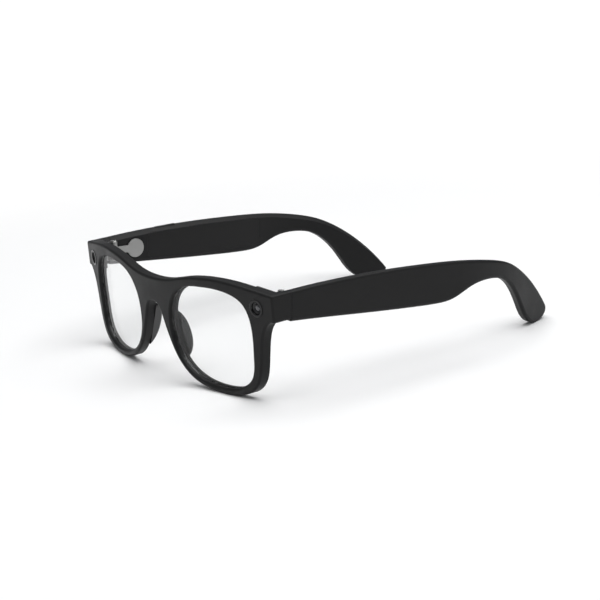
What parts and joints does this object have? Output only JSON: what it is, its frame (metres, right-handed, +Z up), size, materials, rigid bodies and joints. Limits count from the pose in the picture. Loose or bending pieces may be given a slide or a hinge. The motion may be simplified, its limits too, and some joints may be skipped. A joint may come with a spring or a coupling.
{
  "type": "smart glasses",
  "caption": "Smart glasses with a thick matte black frame, clear lenses, a camera and a capture light in the corners, and folding temples that hold the electronics.",
  "frame": {"origin": "on the ground under the middle of the whole part, at rest on its rims and temple tips", "axes": "+X is the wearer's left, +Y runs back along the temples, +Z is up"},
  "size_m": [0.1498, 0.1638, 0.0478],
  "materials": {
    "frame_black": "matte",
    "pad_black": "gloss",
    "cover_black": "matte",
    "key_black": "satin",
    "bezel_black": "gloss",
    "lens_clear": "clear",
    "window_glass": "gloss",
    "part_black": "matte",
    "flex_amber": "satin",
    "contact_gold": "polished",
    "hinge_steel": "satin",
    "screw_steel": "polished",
    "grille_steel": "satin",
    "board_green": "satin",
    "battery_foil": "satin"
  },
  "bodies": {
    "front": {"front_frame": "frame_black", "lens_left": "lens_clear", "lens_right": "lens_clear", "nose_pad_left": "pad_black", "nose_pad_right": "pad_black", "camera_bezel": "bezel_black", "camera_window": "window_glass", "camera_module": "part_black", "light_bezel": "bezel_black", "light_window": "window_glass", "light_module": "part_black", "brow_cover": "cover_black", "brow_flex": "flex_amber", "charge_contacts": "contact_gold", "bridge_microphone": "part_black", "hinge_front_leaf_left": "hinge_steel", "hinge_front_leaf_right": "hinge_steel", "hinge_screw_left": "screw_steel", "hinge_screw_right": "screw_steel", "front_rivets": "screw_steel"},
    "temple_left": {"temple_shell_left": "frame_black", "temple_cover_left": "cover_black", "hinge_temple_leaf_left": "hinge_steel", "temple_rivet_left": "screw_steel", "speaker_left": "part_black", "speaker_grille_left": "grille_steel", "microphone_left": "part_black", "main_board": "board_green", "board_chips": "part_black", "switch_body": "part_black"},
    "temple_right": {"temple_shell_right": "frame_black", "temple_cover_right": "cover_black", "hinge_temple_leaf_right": "hinge_steel", "temple_rivet_right": "screw_steel", "speaker_right": "part_black", "speaker_grille_right": "grille_steel", "microphone_right": "part_black", "battery": "battery_foil", "touch_sensor": "flex_amber", "button_switch": "part_black"},
    "capture_button": {"capture_button": "key_black"},
    "power_switch": {"power_switch": "key_black"}
  },
  "joints": [
    {"name": "fold_left", "type": "hinge", "parent": "front", "child": "temple_left", "pos_m": [0.0666, -0.06191, 0.03932], "axis": [0, 0.0866, 0.9962], "range_deg": [0, 88.5]},
    {"name": "fold_right", "type": "hinge", "parent": "front", "child": "temple_right", "pos_m": [-0.0666, -0.06191, 0.03932], "axis": [0, -0.0866, -0.9962], "range_deg": [0, 69]},
    {"name": "capture_press", "type": "slide", "parent": "temple_right", "child": "capture_button", "axis": [0, -0.0268, -0.9996], "range_m": [0, 0.0004], "stiffness_N_per_m": 3000},
    {"name": "power_slide", "type": "slide", "parent": "temple_left", "child": "power_switch", "axis": [0.0223, 0.996, -0.0866], "range_m": [0, 0.002]}
  ]
}
